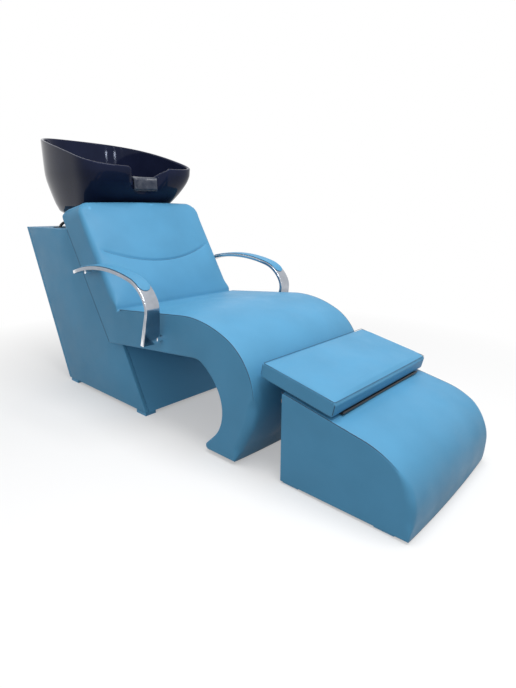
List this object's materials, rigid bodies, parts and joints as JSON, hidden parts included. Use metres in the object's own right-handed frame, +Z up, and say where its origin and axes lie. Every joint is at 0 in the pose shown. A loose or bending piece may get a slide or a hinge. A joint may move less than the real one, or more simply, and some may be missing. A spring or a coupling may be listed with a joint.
{
  "type": "salon hair washing bed",
  "caption": "Salon hair washing bed: padded seat on a leaning cabinet, tilting ceramic bowl with neck rest, metal armrests and a separate padded footrest.",
  "frame": {"origin": "on the floor, under the middle of the overall length and width", "axes": "+X towards the sitter's feet, +Y towards the sitter's left, +Z up"},
  "size_m": [1.816, 0.698, 1.008],
  "materials": {
    "vinyl": "satin",
    "board": "matte",
    "feet": "matte",
    "arm_metal": "polished",
    "arm_pad": "satin",
    "bowl": "gloss",
    "gel": "satin",
    "chrome": "polished",
    "steel": "satin",
    "brass": "satin",
    "black_plastic": "matte",
    "hose": "matte"
  },
  "bodies": {
    "frame": {"seat_side_right": "vinyl", "seat_side_left": "vinyl", "seat_cushion": "vinyl", "seat_deck": "board", "leg_lining": "vinyl", "seat_rails": "board", "toe_block": "board", "backrest_board": "board", "backrest_rear_panel": "vinyl", "backrest_rails": "board", "backrest_cushion": "vinyl", "seat_glides": "feet", "cabinet_side_right": "vinyl", "cabinet_side_left": "vinyl", "cabinet_deck": "board", "cabinet_floor": "board", "cabinet_front_panel": "vinyl", "water_inlets": "brass", "bolt_rail": "board", "seat_bolts": "steel", "cabinet_feet": "feet", "hose_grommet": "black_plastic", "door_hinge_cabinet_leaves": "steel", "door_hinge_pins": "steel", "arm_right": "arm_metal", "arm_left": "arm_metal", "arm_pad_right": "arm_pad", "arm_pad_left": "arm_pad", "arm_screws": "steel", "tilt_base": "steel", "tilt_pins": "steel"},
    "basin": {"bowl": "bowl", "neck_rest": "gel", "waste_strainer": "chrome", "waste_body": "black_plastic", "tilt_saddle": "steel", "tap_body": "chrome", "tap_nut": "chrome", "shower_bush": "black_plastic", "shower_hose": "hose"},
    "hot_tap_knob": {"hot_knob": "chrome"},
    "cold_tap_knob": {"cold_knob": "chrome"},
    "shower": {"hand_shower": "chrome"},
    "door": {"service_door": "vinyl", "door_pull": "black_plastic", "door_hinge_door_leaves": "steel"},
    "footrest": {"footrest_side_right": "vinyl", "footrest_side_left": "vinyl", "footrest_cushion": "vinyl", "footrest_deck": "board", "footrest_rear_panel": "vinyl", "footrest_rails": "board", "footrest_feet": "feet", "footrest_leaf": "steel", "flap_hinge_pin": "steel"},
    "flap": {"flap_cushion": "vinyl", "flap_board": "board", "flap_leaf": "steel"}
  },
  "joints": [
    {"name": "bowl_tilt", "type": "hinge", "parent": "frame", "child": "basin", "pos_m": [-0.672, 0, 0.665], "axis": [0, -1, 0], "range_deg": [0, 12], "deforming": ["shower_hose"]},
    {"name": "hot_knob_turn", "type": "hinge", "parent": "basin", "child": "hot_tap_knob", "pos_m": [-0.752, 0, 0.731], "axis": [0, 1, 0], "range_deg": [0, 90]},
    {"name": "cold_knob_turn", "type": "hinge", "parent": "basin", "child": "cold_tap_knob", "pos_m": [-0.752, 0, 0.731], "axis": [0, -1, 0], "range_deg": [0, 90]},
    {"name": "hand_shower_lift", "type": "slide", "parent": "basin", "child": "shower", "axis": [0, 0, 1], "range_m": [0, 0.12]},
    {"name": "footrest_slide", "type": "slide", "parent": "frame", "child": "footrest", "axis": [1, 0, 0], "range_m": [0, 0.25]},
    {"name": "flap_lift", "type": "hinge", "parent": "footrest", "child": "flap", "pos_m": [0.68505, 0, 0.23963], "axis": [0, 1, 0], "range_deg": [0, 90]},
    {"name": "service_door_drop", "type": "hinge", "parent": "frame", "child": "door", "pos_m": [-0.6452, 0, 0.008], "axis": [0, -1, 0], "range_deg": [0, 36]}
  ]
}
